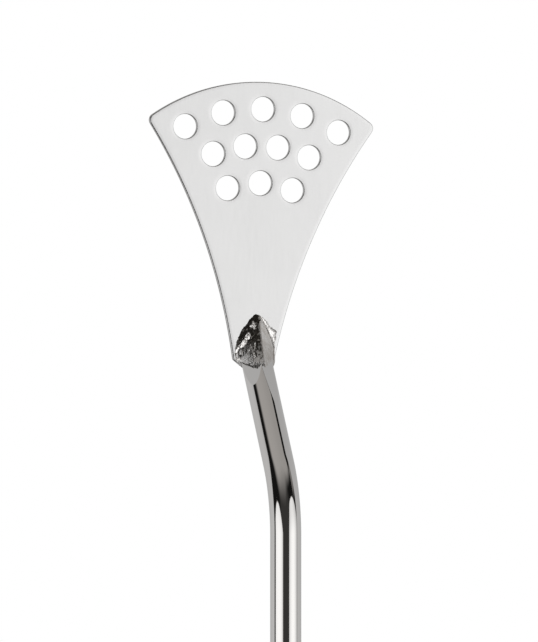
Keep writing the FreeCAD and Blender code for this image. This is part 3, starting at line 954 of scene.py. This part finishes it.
def hole_loops(border, side):
    """Loops from the patch's border to the middle of the hole's wall."""
    axis, front = bar_axis(HOLE_AT)
    along = slope(HANDLE_ANGLE)
    out = front * (1 - 2 * side)
    rim = HANG_HOLE_RADIUS + HANG_HOLE_ROUND
    steps = [k / MOUTH_RINGS for k in range(1, MOUTH_RINGS + 1)]
    turns = [math.pi / 2 * t for t in steps]
    # share of the way in from the border, radius aimed at, depth below the bar's skin
    stages = [(t, rim, 0.0) for t in steps]
    stages += [(1.0, rim - HANG_HOLE_ROUND * math.sin(a), HANG_HOLE_ROUND * (1 - math.cos(a)))
               for a in turns]
    loops = []
    for share, radius, sunk in stages:
        loop = []
        for point in border:
            x, y = (point - axis)[0], (point - axis) @ along
            shrink = radius / math.hypot(x, y) * share + 1 - share
            rise = math.sqrt(BAR_RADIUS ** 2 - (x * shrink) ** 2) - sunk
            loop.append(axis + np.array((x * shrink, 0, 0)) + along * y * shrink + out * rise)
        loops.append(loop)
    return loops


def add_hanging_hole(shell, patch):
    """Close the handle's skin round both mouths of the hole, and line the hole's wall."""
    open_columns = {c for side in (0, 1) for c in patch_columns(side)[:-1]}
    for first, second in zip(patch, patch[1:]):
        shell.faces += [quad for c, quad in enumerate(bands(first, second))
                        if c not in open_columns]
    walls = []
    for side in (0, 1):
        border = patch_border(patch, side)
        inner = hole_loops([shell.points[v] for v in border], side)
        loops = [border] + [shell.ring(loop) for loop in inner]
        shell.skin(loops)
        walls.append(loops[-1])
    shell.faces += bands(walls[0], facing_loop(shell.points, walls))


def make_bar(material):
    """Bar from its slanted foot, round the crank, to its drilled and rounded end."""
    shell = Shell()
    rings = [shell.ring(ring) for ring in tip_rings()]
    rings += [shell.ring(square_ring(along)) for along in STATIONS]
    patch = [rings[-1]] + [shell.ring(square_ring(along)) for along in PATCH_STATIONS]
    end = [patch[-1]] + [shell.ring(ring) for ring in end_rings()]
    shell.skin(rings)
    shell.skin(end)
    add_hanging_hole(shell, patch)
    shell.faces.append(tuple(reversed(rings[0])))
    shell.faces.append(tuple(end[-1]))
    return make_piece("polished_bar", shell, material, "bar_steel", "handle_rod")


def facing_loop(points, walls):
    """The back wall's loop in the order of the front wall's, matched by nearest point."""
    return [min(walls[1], key=lambda v: abs(points[v][0] - points[f][0])
                + abs((points[v] - points[f]) @ slope(HANDLE_ANGLE))) for f in walls[0]]


# ---------------------------------------------------------------- welds

SHANK_SLOPE = math.tan(FOOT_ANGLE)
# ridge of the dressed toe: its upper and lower ends
RIDGE_TOP = np.array((0.75, -10.6, 1.4))
RIDGE_END = np.array((0.35, -25.4, 8.8))
RIDGE_BLEND = 0.3
TOE_FRONT_SLOPE = 1.9
TOE_FACE_SLOPE = 0.8
TOE_BACK_SLOPE = 1.9
WELD_BURY = 0.25
# outlines of the three beads on the blade's face
TOE_OUTLINE = ((0.7, -10.3), (1.8, -11.2), (3.2, -13.3), (4.5, -16.0), (5.6, -18.8), (6.1, -22.0),
               (5.8, -25.0), (4.6, -27.0), (2.5, -28.0), (0.0, -27.6), (-1.2, -25.0),
               (-1.6, -20.0), (-1.0, -15.0), (-0.2, -11.2))
LEFT_OUTLINE = ((0.3, -10.2), (-0.4, -10.4), (-0.9, -10.8), (-1.7, -11.6), (-2.6, -12.8),
                (-3.4, -13.9), (-4.6, -15.2), (-5.2, -16.5), (-5.5, -17.4), (-6.2, -19.0),
                (-6.5, -20.9), (-6.6, -22.3), (-6.7, -24.0), (-6.3, -25.4), (-5.2, -26.8),
                (-2.5, -28.0), (0.3, -27.8), (0.8, -22.0), (0.8, -16.0), (1.1, -11.8),
                (0.95, -10.6))
RIGHT_OUTLINE = ((1.3, -10.6), (2.9, -11.5), (4.2, -12.6), (5.1, -13.9), (5.9, -14.6),
                 (6.8, -15.1), (7.6, -15.8), (7.3, -16.8), (7.5, -17.9), (7.0, -19.3),
                 (7.0, -20.7), (6.4, -21.9), (6.2, -23.2), (5.6, -24.6), (4.8, -24.2),
                 (4.8, -21.0), (4.4, -18.4), (3.2, -15.6), (2.1, -13.2), (1.1, -11.5))
# edge between the dressed face and the right bead: distance down the blade, place across
TOE_FACE_EDGE = ((10.6, 1.2), (11.6, 2.0), (14.9, 3.95), (18.3, 5.55), (21.0, 6.0), (25.0, 5.2))
DENTS = 0.06
# left bead: share of the ridge's height that it reaches, how full its side is, and the place
# up the blade below which it flattens, with its height there at its side and its rise inwards
LEFT_FULLNESS = 0.9
LEFT_SIDE_POWER = 1.5
LEFT_FLAT_START = -23.5
LEFT_FLAT_EDGE = 0.6
LEFT_FLAT_RISE = 2.2
LEFT_LUMP = 0.5
# lumps and the finer ripples on them: noise scales across and along the bead
LUMP_SCALES = (0.55, 0.26)
RIPPLE_SCALES = (1.4, 0.75)
RIPPLE_SHARE = 0.4
# lumps grow from this share at the bead's side by so much per millimetre of height, and are
# held down to a share of themselves over the bar
LUMP_START = 0.25
LUMP_GROWTH = 0.5
LUMP_ON_BAR = 0.35
# right bead: lip over the dressed face, its slope and least height, and least half width
RIGHT_LIP = 0.18
RIGHT_LIP_SLOPE = 3.0
RIGHT_LEAST_HEIGHT = 0.5
RIGHT_LEAST_WIDTH = 0.3
RIGHT_SIDE_POWER = 3
RIGHT_LUMP = 0.16
# skin of weld metal that thins out over the bar, a little below the bar's surface at its end
SKIN = 0.35
SKIN_SINK = 0.12
SKIN_END = -26.0
SKIN_FADE = 3.2
SKIN_RAG = 1.5
# height that stands for no bar at all under a place
NO_BAR = -10.0


def smooth_loop(points, count):
    """Closed smooth curve through the points, sampled evenly by its parameter."""
    given = [np.array(p, float) for p in points]
    size = len(given)
    loop = []
    for k in range(count):
        place = k * size / count
        at = int(place)
        t = place - at
        p0, p1, p2, p3 = (given[(at + j) % size] for j in (-1, 0, 1, 2))
        loop.append(p1 + 0.5 * t * (p2 - p0 + t * (2 * p0 - 5 * p1 + 4 * p2 - p3
                                                  + t * (3 * (p1 - p2) + p3 - p0))))
    return loop


def torn(point, centre, rag, seed):
    """A point of an outline moved in or out by noise."""
    out = (point - centre) / np.linalg.norm(point - centre)
    push = noise.fractal((point[0] * 1.1, point[1] * 1.1, seed), 0.8, 2.1, 4)
    return point + out * rag * push


def dome(outline, height, rings, count, rag=0.0, seed=0.0):
    """Closed mound on the blade's face: rings shrink from the outline to its centre."""
    loop = smooth_loop(outline, count)
    centre = sum(loop) / count
    if rag:
        loop = [torn(p, centre, rag, seed) for p in loop]
    shell = Shell()
    last = shell.ring([np.array((x, y, -WELD_BURY)) for x, y in loop])
    shell.faces.append(tuple(reversed(last)))
    for ring in range(rings):
        share = 1 - ring / rings
        plan = [centre + (p - centre) * share for p in loop]
        made = shell.ring([np.array((x, y, max(height(x, y), -WELD_BURY / 2)))
                           for x, y in plan])
        shell.faces += bands(last, made)
        last = made
    top = shell.ring([np.array((*centre, height(*centre)))])[0]
    shell.faces += [(last[k], last[(k + 1) % count], top) for k in range(count)]
    return shell


def ridge(y):
    """Place across and height of the dressed toe's ridge."""
    share = (y - RIDGE_TOP[1]) / (RIDGE_END[1] - RIDGE_TOP[1])
    x, _, z = RIDGE_TOP + (RIDGE_END - RIDGE_TOP) * share
    if share < 0:
        z = RIDGE_TOP[2] + (RIDGE_TOP[1] - y) * TOE_FRONT_SLOPE
    return x, z


def bar_top(x, y):
    """Height of the shank's upper side over the blade's face, or low down where it isn't."""
    if abs(x) >= BAR_RADIUS:
        return NO_BAR
    middle = (-FOOT_DROP - y) * SHANK_SLOPE
    return middle + math.sqrt(BAR_RADIUS ** 2 - x ** 2) / math.cos(FOOT_ANGLE)


def toe_height(x, y):
    """Two slopes down from the ridge, with faint dents."""
    across, top = ridge(y)
    right = top - TOE_FACE_SLOPE * (x - across)
    left = top + TOE_BACK_SLOPE * (x - across)
    dents = DENTS * noise.fractal((x * 0.7, y * 0.35, 3.0), 1.0, 2.0, 3)
    return soft_least((right, left), RIDGE_BLEND) + dents


def lumps(x, y, seed, lean):
    """Frozen ripples of weld metal, drawn out along the bead."""
    along = x * math.sin(lean) + y * math.cos(lean)
    across = x * math.cos(lean) - y * math.sin(lean)
    wide, long = LUMP_SCALES
    coarse = noise.fractal((across * wide, along * long, seed), 0.9, 2.0, 2)
    wide, long = RIPPLE_SCALES
    fine = noise.fractal((across * wide, along * long, seed + 7), 0.8, 2.1, 3)
    return coarse + RIPPLE_SHARE * fine


def side_of(outline, y):
    """Place across of a bead's outer side, from the run of its outline that goes down."""
    downs, acrosses = [-outline[0][1]], [outline[0][0]]
    for x, down in outline[1:]:
        if -down <= downs[-1]:
            break
        downs.append(-down)
        acrosses.append(x)
    return float(np.interp(-y, downs, acrosses))


def left_height(x, y):
    """Fillet from the ridge down to the left, thinning out over the bar's shoulder."""
    across, top = ridge(y)
    edge = side_of(LEFT_OUTLINE, y)
    share = min(max((across - x) / (across - edge), 0), 1)
    fillet = LEFT_FULLNESS * top * (1 - share ** LEFT_SIDE_POWER)
    if y < LEFT_FLAT_START:
        fillet = min(fillet, LEFT_FLAT_RISE * (1 - share ** 2) + LEFT_FLAT_EDGE)
    ends = y + SKIN_RAG * noise.fractal((x * 1.6, 4.0, 0.0), 0.7, 2.0, 3)
    thin = min(max((ends - SKIN_END) / SKIN_FADE, 0), 1)
    skin = bar_top(x, y) + SKIN * thin - SKIN_SINK
    height = max(fillet, skin) if thin > 0 else fillet
    grown = min(1.0, LUMP_START + height * LUMP_GROWTH)
    held = LUMP_ON_BAR if skin >= fillet else 1.0
    return height + LEFT_LUMP * lumps(x, y, 1.5, BEAD_LEAN) * grown * held * thin


def right_height(x, y):
    """Flat-topped bright fillet that starts with a lip over the dressed face."""
    downs, acrosses = zip(*TOE_FACE_EDGE)
    edge = float(np.interp(-y, downs, acrosses))
    across, top = ridge(y)
    lip = max(top - TOE_FACE_SLOPE * (edge - across), RIGHT_LEAST_HEIGHT) + RIGHT_LIP
    share = (x - edge) / max(side_of(RIGHT_OUTLINE, y) - edge, RIGHT_LEAST_WIDTH)
    if share < 0:
        return lip + share * RIGHT_LIP_SLOPE
    height = lip * (1 - min(share, 1) ** RIGHT_SIDE_POWER)
    grown = min(1.0, height + 0.2)
    return height + RIGHT_LUMP * lumps(x, y, 9.5, -BEAD_LEAN) * grown


HEEL_MIDDLE = (0.0, -29.0, 0.0)
HEEL_HALF = (3.4, 1.8, 1.6)
HEEL_RINGS = 90
HEEL_POINTS = 40
# ripples along the heel bead: depth as a share of its size, and spacing
HEEL_RIPPLE = 0.06
HEEL_RIPPLE_TURNS = 26


def heel_bead():
    """Rippled bead across the underside, between the blade's lower edge and the bar."""
    shell = Shell()
    rings = []
    for ring in range(1, HEEL_RINGS):
        place = -1 + 2 * ring / HEEL_RINGS
        ripple = 1 - HEEL_RIPPLE + HEEL_RIPPLE * math.sin(place * HEEL_RIPPLE_TURNS + 2 * place ** 2)
        size = math.sqrt(1 - place ** 2) * ripple
        made = []
        for k in range(HEEL_POINTS):
            turn = math.tau * k / HEEL_POINTS
            x = place * HEEL_HALF[0]
            y = math.cos(turn) * HEEL_HALF[1] * size
            z = math.sin(turn) * HEEL_HALF[2] * size
            wobble = 0.96 + 0.06 * noise.fractal((x, y * 0.8, z * 0.8 + 5), 0.8, 2.0, 3)
            made.append(np.array(HEEL_MIDDLE) + (x, y * wobble, z * wobble))
        rings.append(shell.ring(made))
    shell.skin(rings)
    shell.faces.append(tuple(reversed(rings[0])))
    shell.faces.append(tuple(rings[-1]))
    return shell


def make_welds(rough, dressed, bright):
    """The four weld beads."""
    toe = dome(TOE_OUTLINE, toe_height, rings=60, count=220)
    left = dome(LEFT_OUTLINE, left_height, rings=90, count=320, rag=0.45, seed=2.0)
    right = dome(RIGHT_OUTLINE, right_height, rings=50, count=300, rag=0.3, seed=6.0)
    make_piece("weld_toe_dressed", toe, dressed, "weld_metal", "weld_toe")
    make_piece("weld_left_bead", left, rough, "weld_metal", "weld_left")
    make_piece("weld_right_bead", right, bright, "weld_metal", "weld_right")
    make_piece("weld_heel_bead", heel_bead(), bright, "weld_metal", "weld_heel")


# ---------------------------------------------------------------- everything

def main():
    scene = bpy.context.scene
    scene.view_settings.view_transform = "Standard"
    make_camera()
    make_world(scene)
    make_floor()
    make_blade(satin_steel())
    make_bar(mirror_steel())
    make_welds(scaled_steel(), dressed_steel(), bright_steel())


main()
